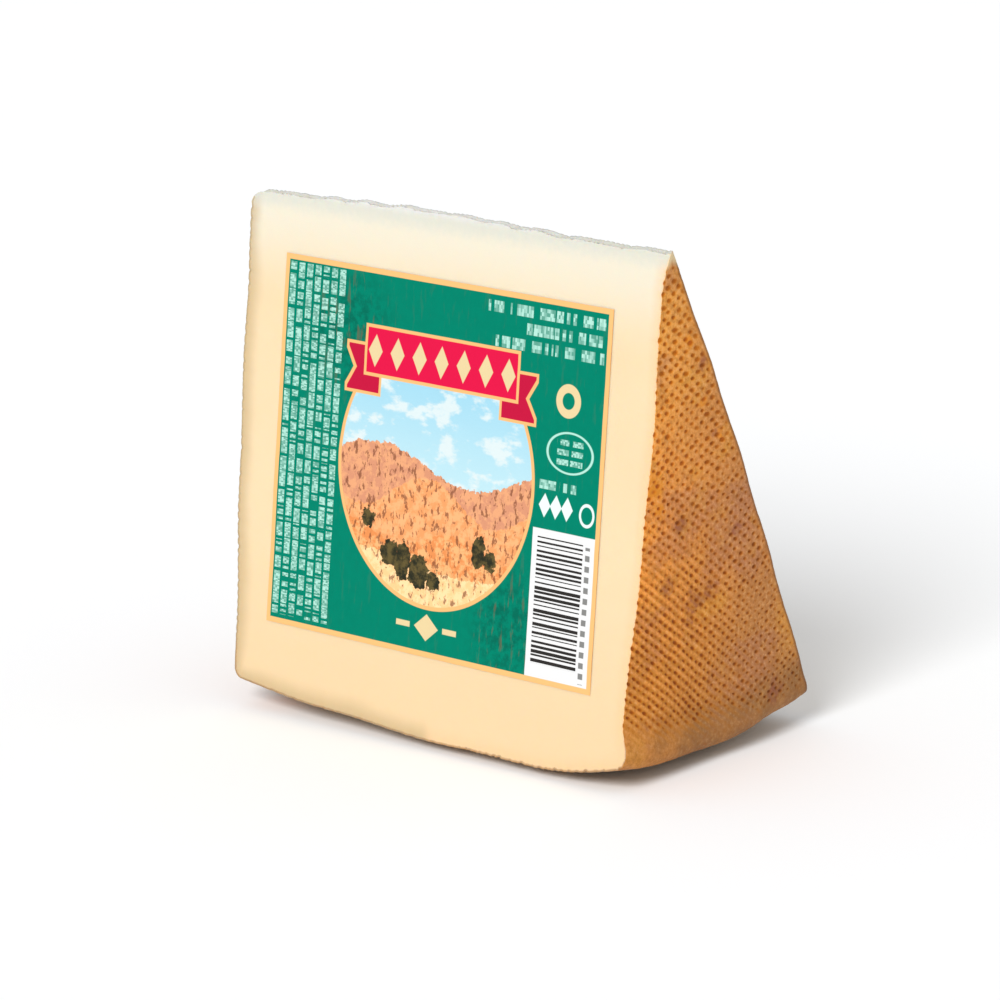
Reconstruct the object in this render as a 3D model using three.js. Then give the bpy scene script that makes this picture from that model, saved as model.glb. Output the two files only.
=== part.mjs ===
// Aged mixed milk cheese: a wedge, about a twelfth of a pressed wheel, that stands on its rind heel,
// with a paper label on one cut face. Millimetres, +Z up, the knife edge along X, the label toward -Y.
import * as THREE from "three";
import { mergeVertices } from "three/addons/utils/BufferGeometryUtils.js";

// The wheel that the wedge was cut from
const WHEEL_RADIUS = 97.3;
const LEFT_HALF_HEIGHT = 52.0;
const RIGHT_HALF_HEIGHT = 50.5;
const LEFT_DROOP = 2.0;
const RIGHT_DROOP = 3.95;
const DROOP_STARTS_AT = 22;
const DROOP_POWER = 1.5;
const RIM_ROUNDING = 2.2;

// The heel bulges most right of the middle and falls back to both rims
const HEEL_BULGE_X = 20;
const HEEL_HALF_WIDTH = 47.4;
const HEEL_SAG = 3.45;
const LEFT_SAG_POWER = 2.0;
const RIGHT_SAG_POWER = 2.6;

// The right rim runs hollow behind the front cut and ends in a lobe at the back cut, by angle from the middle
const RIM_HOLLOW = 0.95;
const RIM_HOLLOW_FROM = -22;
const RIM_HOLLOW_TO = 3;
const RIM_LOBE = 1.5;
const RIM_LOBE_FROM = 9.8;
const RIM_LOBE_TO = 13.1;

// The knife's two cuts, which meet a little off the wheel's centre, and the blunt edge between them
const HALF_ANGLE = 14.9;
const CENTRE_OFFSET = 6;
const EDGE_RADIUS = 3.25;
const EDGE_CORNER_ROUNDING = 2.0;

// The waves and crumbs along the knife edge: heights and lengths, each started at its own phase
const EDGE_WAVES = [
  { height: 0.5, length: 90, phase: 2.06 },
  { height: 0.13, length: 10.9, phase: 2.07 },
  { height: 0.11, length: 8.5, phase: 5.75 },
  { height: 0.09, length: 15.3, phase: 0.24 },
];

// The knife pulled the front edge of the right rind face outward, at the tip and at the rim
const TIP_LIP = 1.5;
const TIP_LIP_REACH = 8;
const TIP_LIP_POWER = 1.5;
const RIM_LIP = 1.3;
const RIM_LIP_STARTS_AT = 86.5;

// Along X these forms of the right side start and are full here
const RIGHT_FORMS_FROM = 36;
const RIGHT_FORMS_FULL_AT = 46;

// How the wedge rests: it leans until its weight is over the spot where the heel is pressed flat
const LEAN = 5.5;
const FLAT_SPOT_DEPTH = 0.6;

// Slow waves in the rind, at full height from some way below the knife edge
const RIND_WAVE = 0.16;
const RIND_WAVE_LENGTH = 23;
const RIND_WAVE_SLANT = 0.7;
const RIND_WAVE_PHASE = 1.3;
const RIND_WAVE_FULL_AT = 24;

// The label and its place on the front cut face, measured from the knife edge
const LABEL_WIDTH = 81.3;
const LABEL_HEIGHT = 66.6;
const LABEL_THICKNESS = 0.2;
const LABEL_GAP = 0.3;
const LABEL_MIDDLE_X = -1.4;
const LABEL_MIDDLE_RADIUS = 47.5;
const LABEL_TURN = 0.4;

// How finely the curved surfaces are divided, and how near two points are one
const STEP_ALONG_FACE = 2.4;
const STEP_ALONG_HEEL = 2.6;
const STEP_ALONG_EDGE = 2.2;
const STEPS_PER_CORNER = 4;
const STEPS_ACROSS = 18;
const SAME_POINT = 1e-4;

const rad = THREE.MathUtils.degToRad;
const { clamp, smoothstep } = THREE.MathUtils;
const halfAngle = rad(HALF_ANGLE);
const lean = rad(LEAN);
const rimStart = WHEEL_RADIUS - HEEL_SAG - RIM_ROUNDING;

// Height of the knife edge line over the floor: the wheel's centre is one radius up, less the flat spot
const edgeHeight = WHEEL_RADIUS - FLAT_SPOT_DEPTH - CENTRE_OFFSET * Math.sin(lean);

// The wheel's radius seen from the knife edge line, as a share of its own radius
function stretch(angle) {
  return 1 + (CENTRE_OFFSET * Math.sin(angle)) / WHEEL_RADIUS;
}

// The middle of the wedge's depth, so that the origin lies under the middle of its box
const frontReach = -WHEEL_RADIUS * stretch(-halfAngle) * Math.sin(halfAngle - lean);
const backReach = WHEEL_RADIUS * stretch(halfAngle) * Math.sin(halfAngle + lean);
const middleDepth = (frontReach + backReach) / 2;

// A point of the wedge from its place along the knife edge, its distance from it and its angle round it
function place(x, radius, angle) {
  const turned = angle + lean;
  const depth = radius * Math.sin(turned) - middleDepth;
  return new THREE.Vector3(x, depth, edgeHeight - radius * Math.cos(turned));
}

// Half height of the wheel at a radius, on one side (-1 left, 1 right)
function faceX(radius, side) {
  const height = side < 0 ? LEFT_HALF_HEIGHT : RIGHT_HALF_HEIGHT;
  const droop = side < 0 ? LEFT_DROOP : RIGHT_DROOP;
  const outward = clamp((radius - DROOP_STARTS_AT) / (WHEEL_RADIUS - DROOP_STARTS_AT), 0, 1);
  return side * (height - droop * outward ** DROOP_POWER);
}

function heelRadius(x) {
  const fromBulge = x - HEEL_BULGE_X;
  if (fromBulge < 0) {
    return WHEEL_RADIUS - HEEL_SAG * (-fromBulge / (HEEL_HALF_WIDTH + HEEL_BULGE_X)) ** LEFT_SAG_POWER;
  }
  return WHEEL_RADIUS - HEEL_SAG * (fromBulge / (HEEL_HALF_WIDTH - HEEL_BULGE_X)) ** RIGHT_SAG_POWER;
}

// The crumbled knife edge, as a radius from the edge line
function edgeRadius(x) {
  const crest = ({ height, length, phase }) => height * Math.sin((2 * Math.PI * x) / length + phase);
  return EDGE_WAVES.reduce((radius, wave) => radius - crest(wave), EDGE_RADIUS);
}

function evenly(from, to, step) {
  const count = Math.max(1, Math.round(Math.abs(to - from) / step));
  return Array.from({ length: count + 1 }, (_, i) => from + ((to - from) * i) / count);
}

// A quarter turn of a corner as pairs (outward share, upward share)
function quarter(steps) {
  return Array.from({ length: steps + 1 }, (_, i) => {
    const turn = (Math.PI / 2) * (i / steps);
    return [Math.sin(turn), 1 - Math.cos(turn)];
  });
}

// The wheel's half section, as points (x, radius): edge corner, left face, heel, right face, knife edge
function sectionPoints() {
  const points = [];
  const leftX = faceX(rimStart, -1);
  const rightX = faceX(rimStart, 1);
  const cornerX = faceX(EDGE_RADIUS, -1) + EDGE_CORNER_ROUNDING;
  const cornerRadius = edgeRadius(cornerX);
  for (const [out, up] of quarter(STEPS_PER_CORNER)) {
    points.push([cornerX - EDGE_CORNER_ROUNDING * out, cornerRadius + EDGE_CORNER_ROUNDING * up]);
  }
  for (const radius of evenly(cornerRadius + EDGE_CORNER_ROUNDING, rimStart, STEP_ALONG_FACE).slice(1)) {
    points.push([faceX(radius, -1), radius]);
  }
  const heelFrom = leftX + RIM_ROUNDING;
  const heelTo = rightX - RIM_ROUNDING;
  for (const [out, up] of quarter(STEPS_PER_CORNER).slice(1)) {
    points.push([leftX + RIM_ROUNDING * up, rimStart + (heelRadius(heelFrom) - rimStart) * out]);
  }
  for (const x of evenly(heelFrom, heelTo, STEP_ALONG_HEEL).slice(1)) {
    points.push([x, heelRadius(x)]);
  }
  for (const [out, up] of quarter(STEPS_PER_CORNER).reverse().slice(1)) {
    points.push([rightX - RIM_ROUNDING * up, rimStart + (heelRadius(heelTo) - rimStart) * out]);
  }
  const tipX = faceX(EDGE_RADIUS, 1);
  for (const radius of evenly(rimStart, edgeRadius(tipX), STEP_ALONG_FACE).slice(1)) {
    points.push([faceX(radius, 1), radius]);
  }
  for (const x of evenly(tipX, cornerX, STEP_ALONG_EDGE).slice(1, -1)) {
    points.push([x, edgeRadius(x)]);
  }
  return points.map(([x, radius]) => new THREE.Vector2(x, radius));
}

function rindWave(x, radius, angle) {
  const across = radius * angle;
  const turn = (2 * Math.PI) / RIND_WAVE_LENGTH;
  const downward = Math.sin(turn * (radius + RIND_WAVE_SLANT * across));
  const sideways = Math.sin(turn * (RIND_WAVE_SLANT * x - across) + RIND_WAVE_PHASE);
  return RIND_WAVE * smoothstep(radius, EDGE_RADIUS, RIND_WAVE_FULL_AT) * (downward + sideways);
}

// How far the right rind face is pulled outward near the front cut
function frontLip(x, radius, angle) {
  const tip = TIP_LIP * clamp(1 - (radius - EDGE_RADIUS) / TIP_LIP_REACH, 0, 1) ** TIP_LIP_POWER;
  const rim = RIM_LIP * smoothstep(radius, RIM_LIP_STARTS_AT, rimStart);
  const towardFront = (halfAngle - angle) / (2 * halfAngle);
  return (tip + rim) * towardFront * smoothstep(x, RIGHT_FORMS_FROM, RIGHT_FORMS_FULL_AT);
}

// How far the right rim stands out from the round heel, or in from it
function rimDrop(x, radius, angle) {
  const hollow = RIM_HOLLOW * smoothstep(angle, rad(RIM_HOLLOW_FROM), rad(RIM_HOLLOW_TO));
  const lobe = RIM_LOBE * smoothstep(angle, rad(RIM_LOBE_FROM), rad(RIM_LOBE_TO));
  const nearRim = smoothstep(x, RIGHT_FORMS_FROM, RIGHT_FORMS_FULL_AT);
  return (lobe - hollow) * nearRim * smoothstep(radius, rimStart, rimStart + RIM_ROUNDING);
}

// Turns the straight extrusion (x, radius, share of the angle) into the wedge, gives its rind and right rim
// their own forms and flattens the spot that it stands on
function bend(geometry) {
  const position = geometry.getAttribute("position");
  for (let i = 0; i < position.count; i += 1) {
    const x = position.getX(i);
    const radius = position.getY(i);
    const angle = halfAngle * (2 * position.getZ(i) - 1);
    const wave = rindWave(x, radius, angle);
    const onHeel = radius > rimStart;
    const newX = (onHeel ? x : x + Math.sign(x) * wave) + frontLip(x, radius, angle);
    const newRadius = (onHeel ? radius + wave : radius) + rimDrop(x, radius, angle);
    const point = place(newX, newRadius * stretch(angle), angle);
    position.setXYZ(i, point.x, point.y, Math.max(0, point.z));
  }
  geometry.deleteAttribute("normal");
  geometry.deleteAttribute("uv");
  const merged = mergeVertices(geometry, SAME_POINT);
  merged.computeVertexNormals();
  return merged;
}

function makeCheese() {
  const section = new THREE.Shape(sectionPoints());
  const straight = new THREE.ExtrudeGeometry(section, { depth: 1, steps: STEPS_ACROSS, bevelEnabled: false });
  const material = new THREE.MeshStandardMaterial({ color: 0xf3dcae, roughness: 0.55, metalness: 0 });
  const mesh = new THREE.Mesh(bend(straight), material);
  mesh.name = "cheese";
  return mesh;
}

function makeLabel() {
  const material = new THREE.MeshStandardMaterial({ color: 0x00876e, roughness: 0.4, metalness: 0 });
  const mesh = new THREE.Mesh(new THREE.BoxGeometry(LABEL_WIDTH, LABEL_THICKNESS, LABEL_HEIGHT), material);
  const tilt = halfAngle - lean;
  const out = new THREE.Vector3(0, -Math.cos(tilt), Math.sin(tilt));
  mesh.position.copy(place(LABEL_MIDDLE_X, LABEL_MIDDLE_RADIUS, -halfAngle));
  mesh.position.addScaledVector(out, LABEL_GAP + LABEL_THICKNESS / 2);
  mesh.rotation.set(-tilt, rad(LABEL_TURN), 0);
  mesh.name = "label";
  return mesh;
}

const wedge = new THREE.Group();
wedge.add(makeCheese());
wedge.add(makeLabel());

export default wedge;
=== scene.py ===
"""Aged mixed milk cheese: a wedge with a cloth-marked amber rind and a printed paper label."""

import math

import bpy
import numpy as np
from mathutils import Matrix, Vector
from mathutils.geometry import delaunay_2d_cdt


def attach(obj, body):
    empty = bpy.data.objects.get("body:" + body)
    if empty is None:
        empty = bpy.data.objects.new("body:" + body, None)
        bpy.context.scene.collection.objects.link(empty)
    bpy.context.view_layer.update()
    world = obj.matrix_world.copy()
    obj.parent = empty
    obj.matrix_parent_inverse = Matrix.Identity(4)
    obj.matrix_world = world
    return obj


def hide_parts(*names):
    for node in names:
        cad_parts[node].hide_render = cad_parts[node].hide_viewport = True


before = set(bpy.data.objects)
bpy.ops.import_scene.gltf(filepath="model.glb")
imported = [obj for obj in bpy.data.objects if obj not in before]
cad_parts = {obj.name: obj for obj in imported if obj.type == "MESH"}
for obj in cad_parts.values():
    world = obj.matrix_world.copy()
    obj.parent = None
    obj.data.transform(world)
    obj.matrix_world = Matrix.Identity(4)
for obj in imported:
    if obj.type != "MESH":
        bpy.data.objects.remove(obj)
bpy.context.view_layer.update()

MM = 0.001
SEED = 7

# The wheel that the wedge was cut from, in millimetres, as in its solid but for a softer right rim
WHEEL_RADIUS = 97.3
LEFT_HALF_HEIGHT = 52.0
RIGHT_HALF_HEIGHT = 50.5
LEFT_DROOP = 2.0
RIGHT_DROOP = 3.95
DROOP_STARTS_AT = 22
DROOP_POWER = 1.5
RIM_ROUNDING = 2.2
HEEL_BULGE_X = 20
HEEL_HALF_WIDTH = 47.4
HEEL_SAG = 3.45
LEFT_SAG_POWER = 2.0
RIGHT_SAG_POWER = 2.6
RIM_START = WHEEL_RADIUS - HEEL_SAG - RIM_ROUNDING
RIM_HOLLOW = 0.55
RIM_HOLLOW_FROM = math.radians(-22)
RIM_HOLLOW_TO = math.radians(3)
RIM_LOBE = 1.1
RIM_LOBE_FROM = math.radians(7.5)
RIM_LOBE_TO = math.radians(13.1)

# The two cuts, the blunt edge between them, and how the wedge leans and rests
HALF_ANGLE = math.radians(14.9)
CENTRE_OFFSET = 6
EDGE_RADIUS = 3.25
EDGE_CORNER_ROUNDING = 2.6
EDGE_WAVES = ((0.5, 90, 2.06), (0.13, 10.9, 2.07), (0.11, 8.5, 5.75), (0.09, 15.3, 0.24))
TIP_LIP = 1.5
TIP_LIP_REACH = 8
TIP_LIP_POWER = 1.5
RIM_LIP = 1.3
RIM_LIP_STARTS_AT = 86.5
RIGHT_FORMS_FROM = 36
RIGHT_FORMS_FULL_AT = 46
LEAN = math.radians(5.5)
FLAT_SPOT_DEPTH = 0.6
RIND_WAVE = 0.16
RIND_WAVE_LENGTH = 23
RIND_WAVE_SLANT = 0.7
RIND_WAVE_PHASE = 1.3
RIND_WAVE_FULL_AT = 24

# The label on the front cut face
LABEL_WIDTH = 81.3
LABEL_HEIGHT = 66.6
LABEL_MIDDLE_X = -1.4
LABEL_MIDDLE_RADIUS = 47.5
LABEL_TURN = math.radians(0.4)

# How finely each zone of the wedge's skin is divided
RIGHT_STEP = 0.225
LEFT_STEP = 0.4
HEEL_STEP = 0.9
HEEL_ROW_STEP = 0.35
EDGE_STEP = 0.3
RIM_STEPS = 7
LABEL_STEP = 0.8

# Small forms of the cuts, the label and the room, in millimetres
EDGE_REACH = 1.5
CUT_DIP = 0.25
CUT_DIP_REACH = 1.2
CUT_LUMPS = 0.07
LABEL_LIFT = 0.16
LABEL_THICKNESS = 0.1
FLOOR_HALF_WIDTH = 4000

# The pressed cloth's marks: rows of pits on a skewed mesh that closes up down the face, and cords between them
PIT_PITCH = 1.70
PIT_PITCH_FALL = 0.0042
ROW_DIRECTION = math.radians(44.5)
COLUMN_DIRECTION = math.radians(146.5)
COLUMN_TO_ROW_PITCH = 1.05
PIT_DEPTH = 0.24
CORD_HEIGHT = 0.07
MARKS_START_AT = 5.4
MARKS_END_AT = 88.4

# Orange stains and mauve blotches on the rind, as (sideways, down, radius) in millimetres from the knife edge
STAINS = ((-10.9, 41.4, 2.0), (-9.9, 43.6, 2.4), (-9.0, 47.6, 1.8), (7.4, 38.0, 1.3), (7.6, 25.4, 1.8),
          (4.0, 31.5, 1.1), (2.0, 20.0, 1.4))
BLOTCHES = ((-9.0, 61.8, 1.9), (1.6, 65.4, 2.1), (-3.0, 66.4, 2.4), (-4.2, 69.8, 1.3), (-4.8, 51.5, 1.6),
            (4.6, 24.2, 1.5), (5.9, 37.6, 1.0), (15.0, 88.0, 2.2), (8.8, 56.0, 1.3))

# Colours of the paste and of its thin rind line
PASTE = "#dfc8a2"
PASTE_SOFT = "#dcc19a"
PASTE_LOW = "#ddc299"
PASTE_TOP = "#dad3c0"
EAR_LEFT = "#b29a70"
EAR_RIGHT = "#dfb888"
# Greys of the knife edge: partly crumbled paste, partly painted shade of its rounded shoulder and edge
CRUMBS_AND_PAINTED_SHADE = "#c8c9be"
EDGE_GREY_AND_PAINTED_SHADE = "#d0d0cc"
LINE_SIDE = "#96856a"
LINE_HEEL = "#80573a"

# Colours of the rind
SKIN_TOP = "#ffb048"
SKIN_MIDDLE = "#f29a43"
SKIN_BACK = "#b97d49"
SKIN_LOW = "#a9773c"
SKIN_MAUVE = "#a06a58"
SKIN_GOLDEN = "#d29330"
SKIN_DARK = "#a86c30"
CHANNEL = "#b06c12"
STAIN = "#d98412"
BLOTCH = "#84463a"
PIT_TOP = "#dac044"
PIT_LOW = "#ccb03a"
PIT_HALO = "#f2e0a8"
SKIN_RIM = "#86603a"
SKIN_HEEL = "#a58d6c"
# Painted shade: a dark line along the rind's back cut edge, where it rounds away
PAINTED_BACK_EDGE_SHADE = "#6e4a30"
GRAIN_LIGHT = "#eab67c"
GRAIN_DARK = "#8f520e"
TIP_BARE = "#e8d2a4"

# Colour of the floor
FLOOR_WHITE = "#f8f9fa"

# Colours of the label's print
GREEN = "#007760"
GREEN_DARK = "#045545"
SCRATCH = "#5d5a44"
BORDER = "#e6b071"
PEACH = "#e4ad70"
CRIMSON = "#d01642"
CRIMSON_DARK = "#b5163a"
CREAM = "#d5c092"
MINT = "#a6d4c6"
WHITE_INK = "#d6e2de"
PANEL = "#dadada"
BAR = "#2c2a28"
SQUARE_GREY = "#7c7c7a"
SKY_TOP = "#90c2d6"
SKY_LOW = "#b2d2d9"
CLOUD = "#ced8d8"
BUSH = "#2a2b20"
BUSH_LIGHT = "#5c5030"
CLEFT = "#6f3f2c"

# The label's print: hills are (level, height, length, start, colours), bushes (across, down, half sizes)
PRINT_SOFTNESS = 0.06
MEDALLION = (40.7, 33.8)
MEDALLION_RADIUS = 24.1
BAND = (21.4, 60.0, 9.9, 19.1)
BAND_LOZENGES = 7
BORDER_WIDTH = 0.95
STRIPE_PITCH = 0.79
SQUARE_PITCH = 1.86
HILLS = ((33.0, 2.8, 46, 1.1, "#c98a6a", "#d99a70"), (38.5, 3.4, 33, 3.6, "#e0945e", "#eaa672"),
         (46.0, 1.6, 27, 0.4, "#d7864e", "#e8a870"), (50.5, 1.2, 52, 2.0, "#f0bd84", "#f6cc98"))
BUSHES = ((30.6, 49.6, 2.4, 2.4), (33.8, 50.6, 2.0, 3.4), (37.9, 52.0, 2.6, 3.0), (41.6, 53.0, 1.8, 1.8),
          (52.5, 46.4, 1.6, 3.0), (55.3, 47.4, 1.8, 1.6), (24.6, 44.2, 1.6, 1.6))

# The photograph's camera
CAMERA_EYE = (0.7819, -0.7604, 0.3283)
CAMERA_AZIMUTH = math.radians(45.926)
CAMERA_ELEVATION = math.radians(14.801)
CAMERA_ROLL = math.radians(-3.616)
CAMERA_LENS = 229.7
SENSOR_WIDTH = 36

# A wide soft key light from the front and left, in an evenly lit white room
KEY_FROM = (0.29, -0.80, 0.62)
KEY_STRENGTH = 2.36
KEY_WIDTH = math.radians(26)
SKY_STRENGTH = 0.635


def smoothstep(value, low, high):
    share = np.clip((value - low) / (high - low), 0, 1)
    return share * share * (3 - 2 * share)


def wobble(points, length, seed, count=14):
    """Smooth noise of about -1 to 1 at points (n, d), with features of about the given length."""
    rng = np.random.default_rng(SEED * 1000 + seed)
    directions = rng.normal(size=(count, points.shape[1]))
    directions /= np.linalg.norm(directions, axis=1)[:, None]
    lengths = length * rng.uniform(0.6, 1.7, count)
    phases = rng.uniform(0, 2 * math.pi, count)
    waves = np.sin(points @ (directions.T * (2 * math.pi / lengths)) + phases)
    return waves.sum(axis=1) * math.sqrt(2 / count) * 0.6


# Shape of the wedge

def stretch(angle):
    return 1 + CENTRE_OFFSET * np.sin(angle) / WHEEL_RADIUS


EDGE_HEIGHT = WHEEL_RADIUS - FLAT_SPOT_DEPTH - CENTRE_OFFSET * math.sin(LEAN)
FRONT_REACH = -WHEEL_RADIUS * stretch(-HALF_ANGLE) * math.sin(HALF_ANGLE - LEAN)
BACK_REACH = WHEEL_RADIUS * stretch(HALF_ANGLE) * math.sin(HALF_ANGLE + LEAN)
MIDDLE_DEPTH = (FRONT_REACH + BACK_REACH) / 2


def place(x, radius, angle):
    """Points (n, 3) in millimetres from places along the knife edge, distances from it and angles round it."""
    turned = angle + LEAN
    return np.stack([x, radius * np.sin(turned) - MIDDLE_DEPTH, EDGE_HEIGHT - radius * np.cos(turned)], axis=-1)


def face_x(radius, side):
    height = LEFT_HALF_HEIGHT if side < 0 else RIGHT_HALF_HEIGHT
    droop = LEFT_DROOP if side < 0 else RIGHT_DROOP
    outward = np.clip((radius - DROOP_STARTS_AT) / (WHEEL_RADIUS - DROOP_STARTS_AT), 0, 1)
    return side * (height - droop * outward ** DROOP_POWER)


def heel_radius(x):
    left = np.clip((HEEL_BULGE_X - x) / (HEEL_HALF_WIDTH + HEEL_BULGE_X), 0, None) ** LEFT_SAG_POWER
    right = np.clip((x - HEEL_BULGE_X) / (HEEL_HALF_WIDTH - HEEL_BULGE_X), 0, None) ** RIGHT_SAG_POWER
    return WHEEL_RADIUS - HEEL_SAG * (left + right)


def edge_radius(x):
    return EDGE_RADIUS - sum(height * np.sin(2 * math.pi * x / length + phase)
                             for height, length, phase in EDGE_WAVES)


def front_lip(x, radius, angle):
    tip = TIP_LIP * np.clip(1 - (radius - EDGE_RADIUS) / TIP_LIP_REACH, 0, 1) ** TIP_LIP_POWER
    rim = RIM_LIP * smoothstep(radius, RIM_LIP_STARTS_AT, RIM_START)
    toward_front = (HALF_ANGLE - angle) / (2 * HALF_ANGLE)
    return (tip + rim) * toward_front * smoothstep(x, RIGHT_FORMS_FROM, RIGHT_FORMS_FULL_AT)


def rim_drop(x, radius, angle):
    hollow = RIM_HOLLOW * smoothstep(angle, RIM_HOLLOW_FROM, RIM_HOLLOW_TO)
    lobe = RIM_LOBE * smoothstep(angle, RIM_LOBE_FROM, RIM_LOBE_TO)
    near_rim = smoothstep(x, RIGHT_FORMS_FROM, RIGHT_FORMS_FULL_AT)
    return (lobe - hollow) * near_rim * smoothstep(radius, RIM_START, RIM_START + RIM_ROUNDING)


def rind_wave(x, radius, angle):
    across = radius * angle
    turn = 2 * math.pi / RIND_WAVE_LENGTH
    downward = np.sin(turn * (radius + RIND_WAVE_SLANT * across))
    sideways = np.sin(turn * (RIND_WAVE_SLANT * x - across) + RIND_WAVE_PHASE)
    return RIND_WAVE * smoothstep(radius, EDGE_RADIUS, RIND_WAVE_FULL_AT) * (downward + sideways)


def evenly(start, end, step):
    return np.linspace(start, end, max(1, round(abs(end - start) / step)) + 1)


def quarter(steps):
    turn = np.linspace(0, math.pi / 2, steps + 1)
    return np.sin(turn), 1 - np.cos(turn)


def section():
    """The wheel's half section as points (n, 2) of x and radius, and each point's step across the wedge."""
    left_x = face_x(RIM_START, -1)
    right_x = face_x(RIM_START, 1)
    corner_x = face_x(EDGE_RADIUS, -1) + EDGE_CORNER_ROUNDING
    corner_radius = edge_radius(corner_x)
    out, up = quarter(RIM_STEPS)
    parts = [(corner_x - EDGE_CORNER_ROUNDING * out, corner_radius + EDGE_CORNER_ROUNDING * up, LEFT_STEP)]
    radius = evenly(corner_radius + EDGE_CORNER_ROUNDING, RIM_START, LEFT_STEP)[1:]
    parts.append((face_x(radius, -1), radius, LEFT_STEP))
    heel_from = left_x + RIM_ROUNDING
    heel_to = right_x - RIM_ROUNDING
    rise = heel_radius(heel_from) - RIM_START
    parts.append((left_x + RIM_ROUNDING * up[1:], RIM_START + rise * out[1:], LEFT_STEP))
    x = evenly(heel_from, heel_to, HEEL_ROW_STEP)[1:]
    parts.append((x, heel_radius(x), HEEL_STEP))
    rise = heel_radius(heel_to) - RIM_START
    parts.append((right_x - RIM_ROUNDING * up[-2::-1], RIM_START + rise * out[-2::-1], RIGHT_STEP))
    tip_x = face_x(EDGE_RADIUS, 1)
    radius = evenly(RIM_START, edge_radius(tip_x), RIGHT_STEP)[1:]
    parts.append((face_x(radius, 1), radius, RIGHT_STEP))
    x = evenly(tip_x, corner_x, EDGE_STEP)[1:-1]
    parts.append((x, edge_radius(x), EDGE_STEP))
    points = np.concatenate([np.stack([x, radius], axis=1) for x, radius, _ in parts])
    steps = np.concatenate([np.full(len(x), step) for x, _, step in parts])
    return points, steps


def section_normals(points):
    along = np.roll(points, -1, axis=0) - np.roll(points, 1, axis=0)
    along /= np.linalg.norm(along, axis=1)[:, None]
    return np.stack([-along[:, 1], along[:, 0]], axis=1)


def cloth_marks(u, v, seed):
    """How deep the cloth's pits are at points of a face, 0 to 1, and how high its cords stand, 0 to 1."""
    where = np.stack([u, v], axis=1)
    u = u + 0.22 * wobble(where, 34, seed + 1) + 0.06 * wobble(where, 6, seed + 2)
    v = v + 0.22 * wobble(where, 30, seed + 3) + 0.06 * wobble(where, 5, seed + 4)
    pitch = PIT_PITCH - PIT_PITCH_FALL * v
    sideways = u / pitch
    down = -np.log(pitch / PIT_PITCH) / PIT_PITCH_FALL
    row_u, row_v = math.cos(ROW_DIRECTION), math.sin(ROW_DIRECTION)
    column_u = COLUMN_TO_ROW_PITCH * math.cos(COLUMN_DIRECTION)
    column_v = COLUMN_TO_ROW_PITCH * math.sin(COLUMN_DIRECTION)
    turned = row_u * column_v - row_v * column_u
    along = (sideways * column_v - down * column_u) / turned
    across = (row_u * down - row_v * sideways) / turned
    lower_front = smoothstep(v, 38, 74) * (1 - smoothstep(u, -8, 16))
    size = 0.335 - 0.06 * smoothstep(v, 15, 70)
    table = np.random.default_rng(SEED * 1000 + seed).random((256, 256, 5))
    pits = np.zeros(len(u))
    for i in (-1, 0, 1):
        for j in (-1, 0, 1):
            row = np.floor(along).astype(int) + i
            column = np.floor(across).astype(int) + j
            draw = table[row % 256, column % 256]
            from_row = along - row - 0.5 - 0.26 * (draw[:, 0] - 0.5)
            from_column = across - column - 0.5 - 0.2 * (draw[:, 1] - 0.5)
            wide = (from_row * row_u + from_column * column_u) / 1.25
            high = (from_row * row_v + from_column * column_v) / 0.85
            far = np.hypot(wide, high)
            far += (np.hypot(from_row / 1.55, from_column * 1.15) - far) * lower_front
            far /= size * (0.72 + 0.56 * draw[:, 2])
            strength = 0.35 + 0.65 * draw[:, 3] ** 0.6
            strength += (1 - strength) * 0.6 * (1 - smoothstep(v, 15, 45))
            pits = np.maximum(pits, strength * smoothstep(-far, -1.2, -0.25))
    cords = smoothstep(np.cos(2 * math.pi * across), -0.5, 0.9)
    return pits, cords


def rind_relief(points, normals, angle):
    """Height in millimetres over the plain wedge at points (x, radius), with the marks' pits and cords."""
    x, radius = points[:, 0], points[:, 1]
    face = np.abs(normals[:, 0]) > 0.5
    sideways = radius * np.sin(angle)
    down = radius * np.cos(angle)
    pits = np.zeros(len(x))
    cords = np.zeros(len(x))
    for chosen, u, v, seed in ((face & (x > 0), sideways, down, 10), (face & (x < 0), sideways, down, 20),
                               (~face, x, radius * angle, 30)):
        pits[chosen], cords[chosen] = cloth_marks(u[chosen], v[chosen], seed)
    where = place(x, radius, angle)
    limit = MARKS_END_AT + 0.085 * np.minimum(sideways, 0) + 0.17 * np.maximum(sideways, 0)
    limit += 0.7 * wobble(where, 9, 42)
    marked = (1 - smoothstep(radius, limit - 1.0, limit + 1.0)) * smoothstep(radius, MARKS_START_AT, 7.0)
    fading = 1 - smoothstep(radius, limit - 2.0, limit + 4.5)
    marked = np.where(face, marked, 0.3 * smoothstep(HEEL_HALF_WIDTH - 5 - np.abs(x), 0, 3))
    marked = marked * np.clip(0.92 + 0.22 * wobble(where, 11, 41), 0.5, 1)
    marked = marked * smoothstep(radius * (HALF_ANGLE - angle), 0.1, 1.3)
    lower_front = smoothstep(radius, 38, 74) * (1 - smoothstep(sideways, -8, 16))
    pits = np.clip(pits * marked, 0, 1)
    cords = 1 - (1 - cords) * np.where(face, fading, marked) * (0.15 + 0.85 * lower_front)
    grain = 0.02 * wobble(where, 1.1, 43) + 0.03 * wobble(where, 3.2, 44)
    return CORD_HEIGHT * (cords - 1) - PIT_DEPTH * pits + grain - 0.08, pits, cords


# Mesh helpers

def zipper(first, second, faces):
    """Triangles between two rows of vertex numbers, whose ends meet."""
    i = j = 0
    while i < len(first) - 1 or j < len(second) - 1:
        first_share = (i + 1) / (len(first) - 1) if i < len(first) - 1 else 2
        second_share = (j + 1) / (len(second) - 1) if j < len(second) - 1 else 2
        if first_share <= second_share:
            faces.append((first[i], first[i + 1], second[j]))
            i += 1
        else:
            faces.append((first[i], second[j + 1], second[j]))
            j += 1


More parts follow.
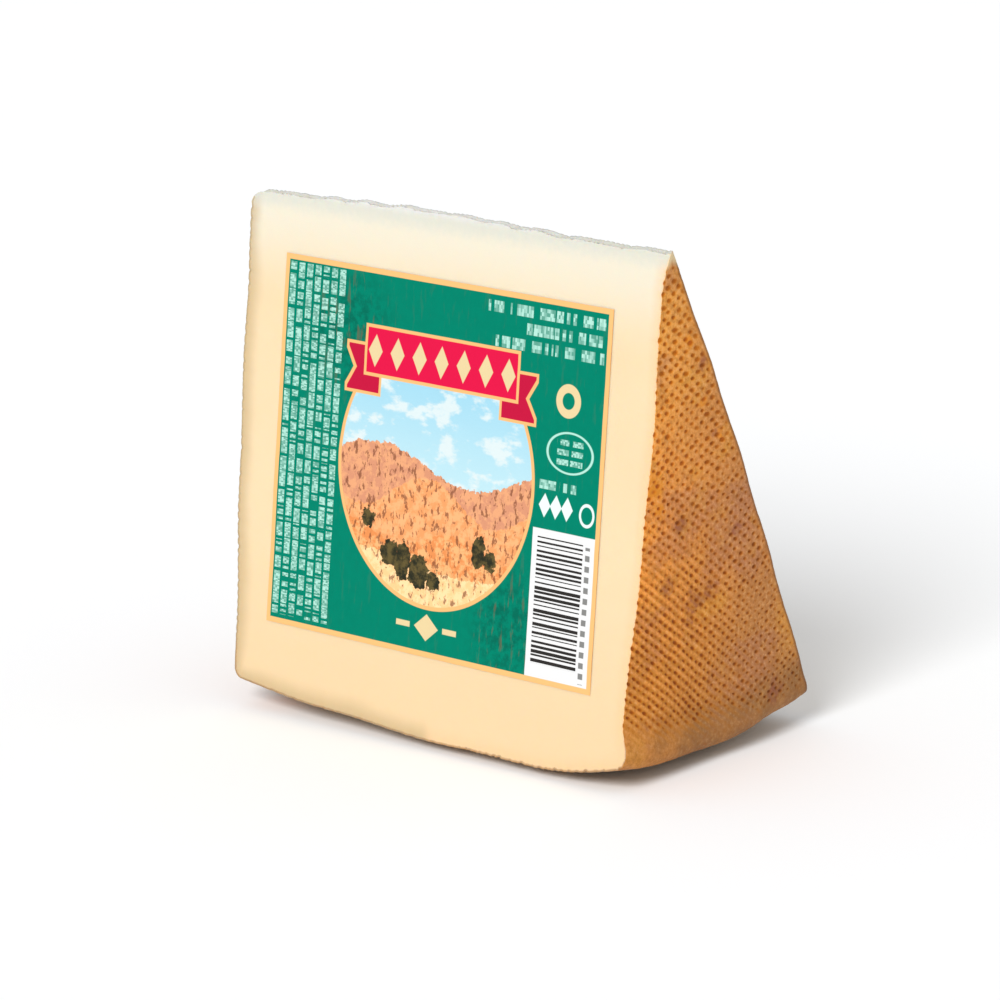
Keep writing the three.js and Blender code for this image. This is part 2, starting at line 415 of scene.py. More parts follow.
def nearest(points, line):
    """Distance of each point to a closed line of points, and the number of the line's nearest point."""
    distance = np.empty(len(points))
    number = np.empty(len(points), int)
    for start in range(0, len(points), 2000):
        part = points[start:start + 2000]
        apart = np.linalg.norm(part[:, None] - line[None], axis=2)
        number[start:start + 2000] = apart.argmin(axis=1)
        distance[start:start + 2000] = apart.min(axis=1)
    return distance, number


def inside(points, line):
    x, y = points[:, 0][:, None], points[:, 1][:, None]
    x0, y0 = line[:, 0], line[:, 1]
    x1, y1 = np.roll(x0, -1), np.roll(y0, -1)
    crosses = (y0 > y) != (y1 > y)
    rise = np.where(y1 == y0, 1, y1 - y0)
    return (crosses & (x < (x1 - x0) * (y - y0) / rise + x0)).sum(axis=1) % 2 == 1


def face_points(line):
    """Points inside a section outline, close together near it and further apart in the middle."""
    chosen = []
    low, high = line.min(axis=0), line.max(axis=0)
    for step, nearest_to, furthest in ((0.42, 0.22, 1.0), (0.95, 1.0, 4.2), (2.3, 4.2, 99)):
        grid = np.stack(np.meshgrid(np.arange(low[0], high[0], step), np.arange(low[1], high[1], step)), -1)
        grid[1::2, :, 0] += step / 2
        grid = grid.reshape(-1, 2)
        grid = grid[inside_quick(grid, line)]
        distance, _ = nearest(grid, line)
        chosen.append(grid[(distance > nearest_to) & (distance <= furthest)])
    return np.concatenate(chosen)


def inside_quick(points, line):
    kept = np.zeros(len(points), bool)
    for start in range(0, len(points), 4000):
        kept[start:start + 4000] = inside(points[start:start + 4000], line)
    return kept


def new_object(name, vertices, faces, materials):
    mesh = bpy.data.meshes.new(name)
    mesh.from_pydata((np.asarray(vertices) * MM).tolist(), [], faces)
    mesh.update()
    obj = bpy.data.objects.new(name, mesh)
    bpy.context.scene.collection.objects.link(obj)
    for material in materials:
        mesh.materials.append(material)
    return obj


def write_attribute(mesh, name, values):
    made = mesh.attributes.new(name, "FLOAT", "POINT")
    made.data.foreach_set("value", np.asarray(values, np.float32))


# Materials

class Shader:
    """A node material built by calls, each of which returns the socket that it makes."""

    def __init__(self, name):
        self.material = bpy.data.materials.new(name)
        self.material.use_nodes = True
        self.tree = self.material.node_tree
        self.bsdf = self.tree.nodes["Principled BSDF"]

    def new(self, kind, inputs=None, **settings):
        node = self.tree.nodes.new(kind)
        for key, value in settings.items():
            setattr(node, key, value)
        for key, value in (inputs or {}).items():
            self.feed(node.inputs[key], value)
        return node

    def feed(self, socket, value):
        if isinstance(value, bpy.types.NodeSocket):
            self.tree.links.new(value, socket)
        elif isinstance(value, str):
            socket.default_value = colour(value)
        else:
            socket.default_value = value

    def set(self, **values):
        for key, value in values.items():
            self.feed(self.bsdf.inputs[key.replace("_", " ")], value)

    def math(self, operation, *values):
        return self.new("ShaderNodeMath", dict(enumerate(values)), operation=operation).outputs[0]

    def attribute(self, name):
        return self.new("ShaderNodeAttribute", attribute_name=name).outputs["Fac"]

    def span(self, value, low, high, to_low=0.0, to_high=1.0):
        inputs = {0: value, 1: low, 2: high, 3: to_low, 4: to_high}
        return self.new("ShaderNodeMapRange", inputs, interpolation_type="SMOOTHSTEP").outputs[0]

    def mix(self, share, first, second, blend="MIX"):
        node = self.new("ShaderNodeMix", data_type="RGBA", blend_type=blend)
        for socket, value in zip((node.inputs[0], node.inputs[6], node.inputs[7]), (share, first, second)):
            self.feed(socket, value)
        return node.outputs[2]

    def noise(self, vector, scale, detail=2.0, roughness=0.5):
        inputs = {"Vector": vector, "Scale": scale, "Detail": detail, "Roughness": roughness}
        return self.new("ShaderNodeTexNoise", inputs).outputs[0]

    def bump(self, height, distance, strength=1.0):
        inputs = {"Height": height, "Distance": distance, "Strength": strength}
        return self.new("ShaderNodeBump", inputs).outputs[0]


def colour(text):
    """A linear colour with alpha from the usual hexadecimal form."""
    channels = [int(text[i:i + 2], 16) / 255 for i in (1, 3, 5)]
    return [c / 12.92 if c <= 0.04045 else ((c + 0.055) / 1.055) ** 2.4 for c in channels] + [1]


def cheese_material():
    shader = Shader("cheese")
    where = shader.new("ShaderNodeTexCoord").outputs["Object"]
    rind = shader.span(shader.attribute("rind"), 0.6, 0.95)
    pit = shader.attribute("pit")
    cord = shader.attribute("cord")
    depth = shader.attribute("depth")
    radius = shader.attribute("radius")
    sideways = shader.attribute("sideways")
    stain = shader.attribute("stain")
    blotch = shader.attribute("blotch")
    right = shader.span(shader.new("ShaderNodeSeparateXYZ", {0: where}).outputs[0], -0.002, 0.002)

    # Paste: cream, nearly white up at the crumbled knife edge, deeper toward the rind
    soft = shader.noise(where, 60, 3)
    fine = shader.noise(where, 900, 3, 0.6)
    ragged = shader.math("ADD", radius, shader.math("MULTIPLY", shader.math("SUBTRACT", fine, 0.5), 2.2))
    paste = shader.mix(shader.span(radius, 55.0, 95.0), PASTE, PASTE_LOW)
    paste = shader.mix(shader.span(soft, 0.35, 0.7, 0.0, 0.25), paste, PASTE_SOFT)
    paste = shader.mix(shader.span(radius, 5.0, 24.0, 1.0, 0.0), paste, PASTE_TOP)
    uneven = shader.math("MULTIPLY", shader.math("SUBTRACT", soft, 0.5), 5.0)
    reach = shader.math("ADD", shader.span(right, 0.0, 1.0, 4.5, 3.0), uneven)
    share = shader.span(right, 0.0, 1.0, 0.65, 0.5)
    toward_rind = shader.span(shader.math("DIVIDE", depth, reach), 0.0, 1.0, share, 0.0)
    paste = shader.mix(toward_rind, paste, shader.mix(right, EAR_LEFT, EAR_RIGHT))
    # A grey band under the knife edge and a grey line on it: crumbled paste, and painted shade of the rounded
    # shoulder and edge
    paste = shader.mix(shader.span(ragged, 4.0, 7.5, 0.85, 0.0), paste, CRUMBS_AND_PAINTED_SHADE)
    paste = shader.mix(shader.span(radius, 2.9, 4.2, 0.9, 0.0), paste, EDGE_GREY_AND_PAINTED_SHADE)
    rind_line = shader.span(depth, 0.1, 0.5, 0.75, 0.0)
    low = shader.span(radius, 80.0, 92.0)
    line_colour = shader.mix(right, shader.mix(low, LINE_SIDE, LINE_HEEL), EAR_RIGHT)
    line_colour = shader.mix(shader.span(radius, 88.0, 91.0), line_colour, LINE_HEEL)
    paste = shader.mix(rind_line, paste, line_colour)

    # Rind: amber near the front and the top, browner and duller away from them, with dark oily pits
    broad = shader.noise(where, 75, 4, 0.6)
    patches = shader.noise(where, 120, 4, 0.6)
    specks = shader.noise(where, 520, 3, 0.65)
    skin = shader.mix(shader.span(radius, 8.0, 52.0), SKIN_TOP, SKIN_MIDDLE)
    skin = shader.mix(shader.span(sideways, -15.0, 13.0, 0.0, 0.85), skin, SKIN_BACK)
    skin = shader.mix(shader.span(radius, 60.0, 92.0, 0.0, 0.5), skin, SKIN_LOW)
    skin = shader.mix(shader.span(broad, 0.5, 0.62, 0.0, 0.42), skin, SKIN_MAUVE)
    skin = shader.mix(shader.span(patches, 0.5, 0.7, 0.0, 0.45), skin, SKIN_GOLDEN)
    skin = shader.mix(shader.span(patches, 0.3, 0.45, 0.4, 0.0), skin, SKIN_DARK)
    skin = shader.mix(shader.span(specks, 0.5, 0.7, 0.0, 0.4), skin, SKIN_DARK)
    grains = shader.noise(where, 1400, 3, 0.65)
    toward_back = shader.span(sideways, -23.0, -4.0, 0.35, 0.8)
    rim = shader.math("MULTIPLY", shader.span(radius, 83.0, 90.5), toward_back)
    rim = shader.math("MULTIPLY", rim, shader.span(patches, 0.3, 0.6, 1.1, 0.6))
    skin = shader.mix(rim, skin, SKIN_RIM)
    skin = shader.mix(shader.span(grains, 0.47, 0.64, 0.0, 0.36), skin, GRAIN_DARK)
    light_grains = shader.span(grains, 0.32, 0.47, 1.0, 0.0)
    light_grains = shader.math("MULTIPLY", shader.span(radius, 80.0, 90.0, 0.34, 0.16), light_grains)
    skin = shader.mix(light_grains, skin, GRAIN_LIGHT)
    blotched = shader.math("MULTIPLY", blotch, shader.span(specks, 0.3, 0.6, 0.2, 0.7))
    skin = shader.mix(blotched, skin, BLOTCH)
    skin = shader.mix(shader.span(radius, 94.2, 95.0, 0.0, 0.8), skin, SKIN_HEEL)
    channel = shader.math("SUBTRACT", 1.0, cord)
    skin = shader.mix(shader.math("MULTIPLY", channel, 0.72), skin, CHANNEL)
    stained = shader.math("MULTIPLY", stain, shader.span(specks, 0.36, 0.56, 0.1, 0.75))
    skin = shader.mix(stained, skin, STAIN)
    pit_colour = shader.mix(shader.span(radius, 12.0, 60.0), PIT_TOP, PIT_LOW)
    skin = shader.mix(shader.span(pit, 0.0, 0.35), skin, PIT_HALO, "MULTIPLY")
    skin = shader.mix(shader.span(pit, 0.15, 0.75), skin, pit_colour, "MULTIPLY")
    # Painted shade: darken the rind within about 0.7 mm of the back cut edge, where it rounds away
    to_back = shader.math("SUBTRACT", shader.math("MULTIPLY", radius, math.sin(HALF_ANGLE)), sideways)
    skin = shader.mix(shader.span(to_back, 0.1, 0.7, 0.75, 0.0), skin, PAINTED_BACK_EDGE_SHADE)
    to_front = shader.math("ADD", shader.math("MULTIPLY", radius, math.sin(HALF_ANGLE)), sideways)
    left_share = shader.span(right, 0.0, 1.0, 0.9, 0.0)
    skin = shader.mix(shader.span(to_front, 0.3, 1.2, left_share, 0.0), skin, LINE_SIDE)
    bare_reach = shader.math("ADD", 5.0, shader.math("MULTIPLY", shader.math("ABSOLUTE", sideways), 0.6))
    bare = shader.span(shader.math("SUBTRACT", radius, bare_reach), -0.8, 1.2, 0.9, 0.0)
    skin = shader.mix(bare, skin, TIP_BARE)
    base = shader.mix(rind, paste, skin)

    shader.set(Base_Color=base)
    shader.set(Roughness=shader.math("ADD", 0.5, shader.math("MULTIPLY", rind, 0.1)))
    shader.set(Subsurface_Weight=shader.math("SUBTRACT", 0.4, shader.math("MULTIPLY", rind, 0.34)))
    shader.set(Specular_IOR_Level=shader.math("SUBTRACT", 0.25, shader.math("MULTIPLY", rind, 0.08)))
    shader.set(Subsurface_Radius=(1.0, 0.62, 0.32), Subsurface_Scale=0.0025)
    grain = shader.math("ADD", fine, shader.math("MULTIPLY", shader.math("MULTIPLY", specks, rind), 2.0))
    shader.set(Normal=shader.bump(grain, 0.00006, 0.5))
    return shader.material


class Print:
    """Flat print on the label, as shapes in millimetres from its left and its top edge."""

    def __init__(self, shader):
        self.shader = shader
        spot = shader.new("ShaderNodeUVMap", uv_map="print").outputs[0]
        place_on = shader.new("ShaderNodeSeparateXYZ", {0: spot})
        self.u = shader.math("MULTIPLY", place_on.outputs[0], LABEL_WIDTH)
        self.v = shader.math("MULTIPLY", shader.math("SUBTRACT", 1.0, place_on.outputs[1]), LABEL_HEIGHT)
        self.ink = GREEN

    def fill(self, share, ink):
        self.ink = self.shader.mix(share, self.ink, ink)

    def within(self, distance):
        return self.shader.span(distance, -PRINT_SOFTNESS, PRINT_SOFTNESS, 1.0, 0.0)

    def both(self, first, second):
        return self.shader.math("MULTIPLY", first, second)

    def away(self, value, middle):
        return self.shader.math("ABSOLUTE", self.shader.math("SUBTRACT", value, middle))

    def box(self, left, right, top, bottom):
        shader = self.shader
        over_u = shader.math("SUBTRACT", self.away(self.u, (left + right) / 2), (right - left) / 2)
        over_v = shader.math("SUBTRACT", self.away(self.v, (top + bottom) / 2), (bottom - top) / 2)
        return shader.math("MAXIMUM", over_u, over_v)

    def oval(self, middle_u, middle_v, half_width, half_height):
        shader = self.shader
        du = shader.math("DIVIDE", shader.math("SUBTRACT", self.u, middle_u), half_width)
        dv = shader.math("DIVIDE", shader.math("SUBTRACT", self.v, middle_v), half_height)
        squares = shader.math("ADD", shader.math("MULTIPLY", du, du), shader.math("MULTIPLY", dv, dv))
        outside = shader.math("SUBTRACT", shader.math("SQRT", squares), 1.0)
        return shader.math("MULTIPLY", outside, half_height)

    def lozenge(self, middle_u, middle_v, half_width, half_height):
        shader = self.shader
        du = shader.math("DIVIDE", self.away(self.u, middle_u), half_width)
        dv = shader.math("DIVIDE", self.away(self.v, middle_v), half_height)
        outside = shader.math("SUBTRACT", shader.math("ADD", du, dv), 1.0)
        return shader.math("MULTIPLY", outside, half_width / 1.5)

    def line(self, distance, half_width):
        shader = self.shader
        return self.within(shader.math("SUBTRACT", shader.math("ABSOLUTE", distance), half_width))

    def count(self, value, size):
        return self.shader.math("FLOOR", self.shader.math("DIVIDE", value, size))

    def part(self, value, size):
        return self.shader.math("FRACT", self.shader.math("DIVIDE", value, size))

    def chance(self, first, second, seed):
        spot = self.shader.new("ShaderNodeCombineXYZ", {0: first, 1: second, 2: float(seed)}).outputs[0]
        node = self.shader.new("ShaderNodeTexWhiteNoise", {"Vector": spot}, noise_dimensions="3D")
        return node.outputs["Value"]

    def dashes(self, area, along, across, start, pitch, height, unit, seed, ink):
        """Lines of small uneven blocks in place of small print, in groups of uneven length."""
        shader = self.shader
        from_start = shader.math("SUBTRACT", across, start)
        line = self.count(from_start, pitch)
        on_line = shader.math("LESS_THAN", self.part(from_start, pitch), height / pitch)
        block = shader.math("GREATER_THAN", self.chance(self.count(along, unit), line, seed), 0.16)
        word = self.chance(self.count(along, unit * 6.5), line, seed + 1)
        gap = shader.math("GREATER_THAN", self.part(along, unit * 6.5), shader.math("MULTIPLY", word, 0.22))
        third = self.count(from_start, height / 3)
        tone = shader.span(self.chance(self.count(along, unit / 2), third, seed + 2), 0.0, 1.0, 0.25, 1.0)
        share = self.both(self.both(self.within(area), on_line), self.both(block, gap))
        self.fill(self.both(share, tone), ink)


def print_picture(sheet):
    """A round picture of sandy hills under a blue sky, with a plain crimson band across its top."""
    shader = sheet.shader
    u, v = sheet.u, sheet.v
    where = shader.new("ShaderNodeCombineXYZ", {0: u, 1: v}).outputs[0]
    rough = shader.math("SUBTRACT", shader.noise(where, 0.7, 5, 0.65), 0.5)
    sky = shader.mix(shader.span(v, 12.0, 42.0), SKY_TOP, SKY_LOW)
    flattened = shader.new("ShaderNodeCombineXYZ", {0: u, 1: shader.math("MULTIPLY", v, 1.8)}).outputs[0]
    cloud_noise = shader.noise(flattened, 0.13, 4, 0.6)
    view = shader.mix(shader.span(cloud_noise, 0.5, 0.62, 0.0, 0.9), sky, CLOUD)

    def ridge(level, height, length, start, roughness):
        wave = shader.math("SINE", shader.math("ADD", shader.math("MULTIPLY", u, 2 * math.pi / length), start))
        top = shader.math("ADD", level, shader.math("MULTIPLY", wave, height))
        top = shader.math("ADD", top, shader.math("MULTIPLY", rough, roughness))
        return shader.math("SUBTRACT", top, v)

    grit = shader.noise(where, 0.5, 6, 0.7)
    narrowed = shader.new("ShaderNodeCombineXYZ", {0: shader.math("MULTIPLY", u, 2.2), 1: v}).outputs[0]
    clefts = shader.noise(narrowed, 0.45, 5, 0.65)
    for level, height, length, start, near, far in HILLS:
        line = ridge(level, height, length, start, 3.0)
        side = shader.mix(shader.span(grit, 0.44, 0.56), near, far)
        side = shader.mix(shader.span(clefts, 0.54, 0.6, 0.0, 0.75), side, CLEFT)
        view = shader.mix(sheet.within(line), view, side)
    for middle_u, middle_v, half_width, half_height in BUSHES:
        shape = sheet.oval(middle_u, middle_v, half_width, half_height)
        shape = shader.math("ADD", shape, shader.math("MULTIPLY", rough, 4.0))
        leaves = shader.mix(shader.span(grit, 0.4, 0.6), BUSH, BUSH_LIGHT)
        view = shader.mix(sheet.within(shape), view, leaves)
    disc = sheet.oval(*MEDALLION, MEDALLION_RADIUS, MEDALLION_RADIUS)
    disc = shader.math("MAXIMUM", disc, shader.math("SUBTRACT", BAND[3] - 4.0, v))
    sheet.fill(sheet.within(disc), view)
    sheet.fill(sheet.line(disc, 0.36), PEACH)

    left, right, top, bottom = BAND
    for tail, out in ((left, -1), (right, 1)):
        outer = sheet.box(tail - 4.6, tail + 4.6, top + 3.4, bottom + 3.4)
        notch = sheet.lozenge(tail + out * 5.2, (top + bottom) / 2 + 3.4, 2.6, 4.0)
        shape = shader.math("MAXIMUM", outer, shader.math("MULTIPLY", notch, -1.0))
        sheet.fill(sheet.within(shape), PEACH)
        sheet.fill(sheet.within(shader.math("ADD", shape, 0.55)), CRIMSON_DARK)
    band = sheet.box(left, right, top, bottom)
    sheet.fill(sheet.within(band), PEACH)
    sheet.fill(sheet.within(shader.math("ADD", band, 0.6)), CRIMSON)
    for number in range(BAND_LOZENGES):
        middle_u = left + (number + 0.5) * (right - left) / BAND_LOZENGES
        sheet.fill(sheet.within(sheet.lozenge(middle_u, (top + bottom) / 2, 1.75, 2.9)), CREAM)


def print_small_marks(sheet):
    """Small print, marks and the striped white panel at the right."""
    shader = sheet.shader
    u, v = sheet.u, sheet.v
    sheet.dashes(sheet.box(0.9, 15.9, 1.3, 64.9), v, u, 1.3, 2.13, 1.5, 0.46, 3, MINT)
    ends = (1.9, 4.9, 7.8)
    for number, left in enumerate((51.4, 61.0, 53.6)):
        area = sheet.box(left, 79.8, ends[number], ends[number] + 2.0)
        sheet.dashes(area, u, v, ends[number], 2.9, 2.0, 0.8, 11 + number, MINT)
    sheet.fill(sheet.line(sheet.oval(72.0, 17.0, 2.2, 2.2), 0.75), CREAM)
    sheet.fill(sheet.line(sheet.oval(73.1, 25.9, 5.4, 3.5), 0.17), MINT)
    sheet.dashes(sheet.box(70.0, 76.2, 23.6, 28.2), u, v, 23.7, 1.7, 1.0, 0.7, 21, MINT)
    sheet.dashes(sheet.box(66.3, 75.1, 31.2, 32.8), u, v, 31.2, 2.9, 1.6, 0.9, 25, MINT)
    for middle_u in (67.8, 70.5, 73.2):
        sheet.fill(sheet.within(sheet.lozenge(middle_u, 35.6, 1.4, 2.1)), WHITE_INK)
    sheet.fill(sheet.line(sheet.oval(78.0, 36.0, 1.6, 1.8), 0.28), WHITE_INK)
    for left, right in ((33.2, 36.6), (44.8, 48.2)):
        sheet.fill(sheet.within(sheet.box(left, right, 60.9, 61.9)), CREAM)
    sheet.fill(sheet.within(sheet.lozenge(40.7, 61.4, 3.0, 2.4)), CREAM)

    sheet.fill(sheet.within(sheet.box(65.4, 80.4, 39.7, 66.0)), PANEL)
    width = shader.span(sheet.chance(sheet.count(v, STRIPE_PITCH), 0.0, 31), 0.0, 1.0, 0.22, 0.78)
    bar = shader.math("LESS_THAN", sheet.part(v, STRIPE_PITCH), width)
    sheet.fill(sheet.both(sheet.within(sheet.box(66.6, 77.6, 40.7, 63.2)), bar), BAR)
    square = shader.math("LESS_THAN", sheet.part(v, SQUARE_PITCH), 0.55)
    sheet.fill(sheet.both(sheet.within(sheet.box(78.2, 79.3, 41.4, 65.2)), square), SQUARE_GREY)


def label_material():
    shader = Shader("label")
    sheet = Print(shader)
    where = shader.new("ShaderNodeCombineXYZ", {0: sheet.u, 1: sheet.v}).outputs[0]
    mottle = shader.noise(where, 0.55, 5, 0.7)
    stretched = {"Vector": where, "Scale": (0.9, 0.16, 1.0), "Rotation": (0, 0, 0.25)}
    streaks = shader.noise(shader.new("ShaderNodeMapping", stretched).outputs[0], 1.0, 4, 0.6)
    worn = shader.math("MINIMUM", sheet.oval(17.0, 12.0, 9.0, 9.0), sheet.oval(60.0, 58.0, 7.0, 9.0))
    worn = shader.span(worn, -6.0, 6.0, 1.0, 0.12)
    sheet.fill(shader.math("MULTIPLY", worn, shader.span(mottle, 0.4, 0.62, 0.0, 0.7)), GREEN_DARK)
    sheet.fill(shader.math("MULTIPLY", worn, shader.span(streaks, 0.56, 0.66, 0.0, 0.7)), SCRATCH)
    print_picture(sheet)
    print_small_marks(sheet)
    edge = sheet.box(BORDER_WIDTH, LABEL_WIDTH - BORDER_WIDTH, BORDER_WIDTH, LABEL_HEIGHT - BORDER_WIDTH)
    sheet.fill(sheet.within(shader.math("MULTIPLY", edge, -1.0)), BORDER)

    shader.set(Base_Color=sheet.ink, Roughness=0.45, Specular_IOR_Level=0.02)
    crease = shader.noise(where, 0.16, 4, 0.55)
    shader.set(Normal=shader.bump(crease, 0.0002, 0.3))
    return shader.material


def floor_material():
    shader = Shader("floor")
    shader.set(Base_Color=FLOOR_WHITE, Roughness=0.9, Specular_IOR_Level=0.1)
    return shader.material


# Pieces

def spot_share(spots, x, sideways, down):
    """How strongly ragged spots colour points of the right rind, 0 to 1."""
    ragged = 1 + 0.3 * wobble(np.stack([sideways, down], axis=1), 3.4, 45)
    share = np.zeros(len(x))
    for middle, below, radius in spots:
        far = np.hypot(sideways - middle, down - below) / (radius * ragged)
        share = np.maximum(share, 1 - smoothstep(far, 0.45, 1.2))
    return np.where(x > 0, share, 0)


def cut_face(side, line, from_rind):
    """A cut's inner points (n, 3), their places on it, their depth below the rind, and its triangles."""
    inner = face_points(line)
    edges = [(i, (i + 1) % len(line)) for i in range(len(line))]
    every = [Vector(point) for point in np.concatenate([line, inner])]
    _, _, triangles, originals, _, _ = delaunay_2d_cdt(every, edges, [], 1, 1e-6)
    source = [min(sources) for sources in originals]
    distance, _ = nearest(inner, line)
    dip = CUT_DIP * np.clip(1 - distance / CUT_DIP_REACH, 0, 1) ** 2
    lump = CUT_LUMPS * wobble(inner, 2.2, 61 + side) * smoothstep(-inner[:, 1], -8, -3)
    angle = side * (HALF_ANGLE - (dip + lump) / np.maximum(inner[:, 1], 2))
    depth, _ = nearest(inner, line[from_rind])
    points = place(inner[:, 0], inner[:, 1] * stretch(angle), angle)
    return points, inner, depth, [tuple(source[corner] for corner in triangle) for triangle in triangles]


def make_cheese(material):
    points, steps = section()
    normals = section_normals(points)
    rows, owner, share = [], [], []
    total = 0
    for number, (spot, step) in enumerate(zip(points, steps)):
        count = max(3, round(2 * HALF_ANGLE * spot[1] / step))
        rows.append(range(total, total + count + 1))
        owner += [number] * (count + 1)
        share.append(np.linspace(0, 1, count + 1))
        total += count + 1
    angle = HALF_ANGLE * (2 * np.concatenate(share) - 1)
    skin, outward = points[owner], normals[owner]
    sideways, down = skin[:, 1] * np.sin(angle), skin[:, 1] * np.cos(angle)
    relief, pits, cords = rind_relief(skin, outward, angle)
    on_edge = (skin[:, 1] < EDGE_RADIUS + EDGE_REACH) & (np.abs(outward[:, 0]) < 0.7)
    where = place(skin[:, 0], skin[:, 1], angle)
    crumbs = 0.11 * wobble(where, 1.3, 51) + 0.06 * wobble(where, 0.7, 52) - 0.08
    relief = np.where(on_edge, np.minimum(crumbs, 0), relief)
    on_heel = (skin[:, 1] > RIM_START) & (np.abs(outward[:, 0]) < 0.7)
    at_front = 1 - smoothstep(skin[:, 1] * (angle + HALF_ANGLE), 0.1, 1.3)
    teeth = 0.3 * np.clip(wobble(skin, 1.1, 53), 0, 1) * smoothstep(skin[:, 0], 4, 14)
    relief = relief - np.where(on_heel, at_front * teeth, 0)
    moved = skin + outward * (relief + rind_wave(skin[:, 0], skin[:, 1], angle))[:, None]
    moved[:, 0] += front_lip(skin[:, 0], skin[:, 1], angle)
    moved[:, 1] += rim_drop(skin[:, 0], skin[:, 1], angle)
    vertices = [place(moved[:, 0], moved[:, 1] * stretch(angle), angle)]
    faces = []
    for row, following in zip(rows, rows[1:] + rows[:1]):
        zipper(row, following, faces)
    to_rind = np.where(on_edge, np.minimum(RIGHT_HALF_HEIGHT - skin[:, 0], skin[:, 0] + LEFT_HALF_HEIGHT), 0)
    attributes = {
        "rind": [np.where(on_edge, 0, 1)], "pit": [pits], "cord": [cords], "depth": [to_rind],
        "radius": [skin[:, 1]], "sideways": [sideways],
        "stain": [spot_share(STAINS, skin[:, 0], sideways, down)],
        "blotch": [spot_share(BLOTCHES, skin[:, 0], sideways, down)],
    }
    rims = set()
    for side, end in ((-1, 0), (1, -1)):
        boundary = np.array([row[end] for row in rows])
        below_edge = points[:, 1] > EDGE_RADIUS + EDGE_REACH
        inner_points, inner, depth, triangles = cut_face(side, moved[boundary], below_edge)
        number = np.concatenate([boundary, total + np.arange(len(inner))])
        faces += [tuple(int(number[corner]) for corner in triangle) for triangle in triangles]
        for here, following, below in zip(boundary, np.roll(boundary, -1), below_edge):
            if below:
                rims.add((min(here, following), max(here, following)))
        vertices.append(inner_points)
        nothing = np.zeros(len(inner))
        for name, values in (("rind", nothing), ("pit", nothing), ("cord", nothing + 1), ("depth", depth),
                             ("radius", inner[:, 1]), ("sideways", side * inner[:, 1] * math.sin(HALF_ANGLE)),
                             ("stain", nothing), ("blotch", nothing)):
            attributes[name].append(values)
        total += len(inner)
    vertices = np.concatenate(vertices)
    vertices[:, 2] = np.maximum(vertices[:, 2], 0)
    obj = new_object("cheese_wedge", vertices, faces, [material])
    mesh = obj.data
    for name, values in attributes.items():
        write_attribute(mesh, name, np.concatenate(values))
    mesh.shade_smooth()
    ends = np.empty(2 * len(mesh.edges), int)
    mesh.edges.foreach_get("vertices", ends)
    sharp = [(min(pair), max(pair)) in rims for pair in ends.reshape(-1, 2).tolist()]
    mesh.attributes.new("sharp_edge", "BOOLEAN", "EDGE").data.foreach_set("value", sharp)
    return obj


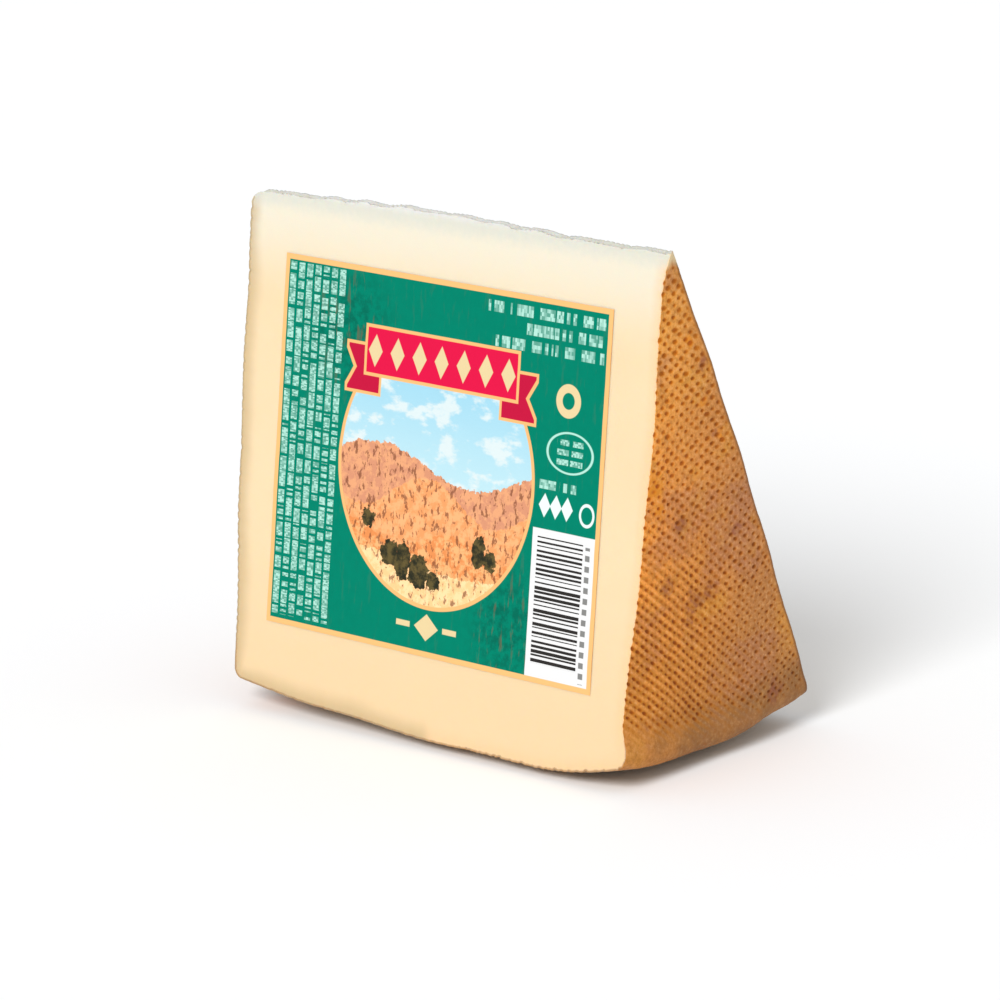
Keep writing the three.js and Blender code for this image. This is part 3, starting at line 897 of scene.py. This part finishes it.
def make_label(material):
    across = np.linspace(-0.5, 0.5, round(LABEL_WIDTH / LABEL_STEP) + 1)
    down = np.linspace(-0.5, 0.5, round(LABEL_HEIGHT / LABEL_STEP) + 1)
    grid_u, grid_v = np.meshgrid(across, down)
    flat = np.stack([grid_u.ravel() * LABEL_WIDTH, grid_v.ravel() * LABEL_HEIGHT], axis=1)
    tilt = HALF_ANGLE - LEAN
    out = np.array([0, -math.cos(tilt), math.sin(tilt)])
    downward = np.array([0, -math.sin(tilt), -math.cos(tilt)])
    sideways = np.array([1.0, 0, 0])
    right = sideways * math.cos(LABEL_TURN) + downward * math.sin(LABEL_TURN)
    below = downward * math.cos(LABEL_TURN) - sideways * math.sin(LABEL_TURN)
    middle = place(np.array(LABEL_MIDDLE_X), np.array(LABEL_MIDDLE_RADIUS), np.array(-HALF_ANGLE))
    lift = LABEL_LIFT + 0.035 * wobble(flat, 13, 71) + 0.02 * wobble(flat, 5, 72)
    sheet = middle + flat[:, :1] * right + flat[:, 1:] * below + lift[:, None] * out
    vertices = np.concatenate([sheet, sheet - LABEL_THICKNESS * out])
    columns, lines = len(across), len(down)
    count = columns * lines
    faces = []
    for line in range(lines - 1):
        for column in range(columns - 1):
            a = line * columns + column
            quad = (a, a + columns, a + columns + 1, a + 1)
            faces.append(quad)
            faces.append(tuple(corner + count for corner in reversed(quad)))
    rim = [*range(columns)]
    rim += [line * columns + columns - 1 for line in range(1, lines)]
    rim += [(lines - 1) * columns + column for column in range(columns - 2, -1, -1)]
    rim += [line * columns for line in range(lines - 2, 0, -1)]
    for here, following in zip(rim, rim[1:] + rim[:1]):
        faces.append((here, following, following + count, here + count))
    obj = new_object("label_sheet", vertices, faces, [material])
    mesh = obj.data
    layer = mesh.uv_layers.new(name="print")
    corners = np.empty(len(mesh.loops), int)
    mesh.loops.foreach_get("vertex_index", corners)
    spots = np.stack([grid_u.ravel() + 0.5, 0.5 - grid_v.ravel()], axis=1)
    layer.data.foreach_set("uv", spots[corners % count].ravel().astype(np.float32))
    mesh.set_sharp_from_angle(angle=math.radians(40))
    return obj


def make_floor(material):
    half = FLOOR_HALF_WIDTH
    corners = [(-half, -half, 0), (half, -half, 0), (half, half, 0), (-half, half, 0)]
    floor = new_object("floor", corners, [(0, 1, 2, 3)], [material])


def make_camera():
    back = Vector((math.sin(CAMERA_AZIMUTH) * math.cos(CAMERA_ELEVATION),
                   -math.cos(CAMERA_AZIMUTH) * math.cos(CAMERA_ELEVATION), math.sin(CAMERA_ELEVATION)))
    level = Vector((math.cos(CAMERA_AZIMUTH), math.sin(CAMERA_AZIMUTH), 0))
    upright = back.cross(level)
    right = level * math.cos(CAMERA_ROLL) + upright * math.sin(CAMERA_ROLL)
    up = upright * math.cos(CAMERA_ROLL) - level * math.sin(CAMERA_ROLL)
    data = bpy.data.cameras.new("camera")
    data.lens = CAMERA_LENS
    data.sensor_width = SENSOR_WIDTH
    data.clip_end = 20
    camera = bpy.data.objects.new("camera", data)
    camera.matrix_world = Matrix.Translation(CAMERA_EYE) @ Matrix((right, up, back)).transposed().to_4x4()
    bpy.context.scene.collection.objects.link(camera)
    bpy.context.scene.camera = camera


def make_light():
    world = bpy.data.worlds.new("studio")
    world.use_nodes = True
    world.node_tree.nodes["Background"].inputs["Color"].default_value = (1, 1, 1, 1)
    world.node_tree.nodes["Background"].inputs["Strength"].default_value = SKY_STRENGTH
    bpy.context.scene.world = world
    bpy.context.scene.view_settings.view_transform = "Standard"
    sun = bpy.data.lights.new("key", "SUN")
    sun.energy = KEY_STRENGTH
    sun.angle = KEY_WIDTH
    key = bpy.data.objects.new("key", sun)
    key.rotation_euler = Vector(KEY_FROM).to_track_quat("Z", "Y").to_euler()
    bpy.context.scene.collection.objects.link(key)


cheese = make_cheese(cheese_material())
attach(cheese, "root")
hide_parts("cheese")
label = make_label(label_material())
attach(label, "root")
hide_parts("label")
make_floor(floor_material())
make_light()
make_camera()
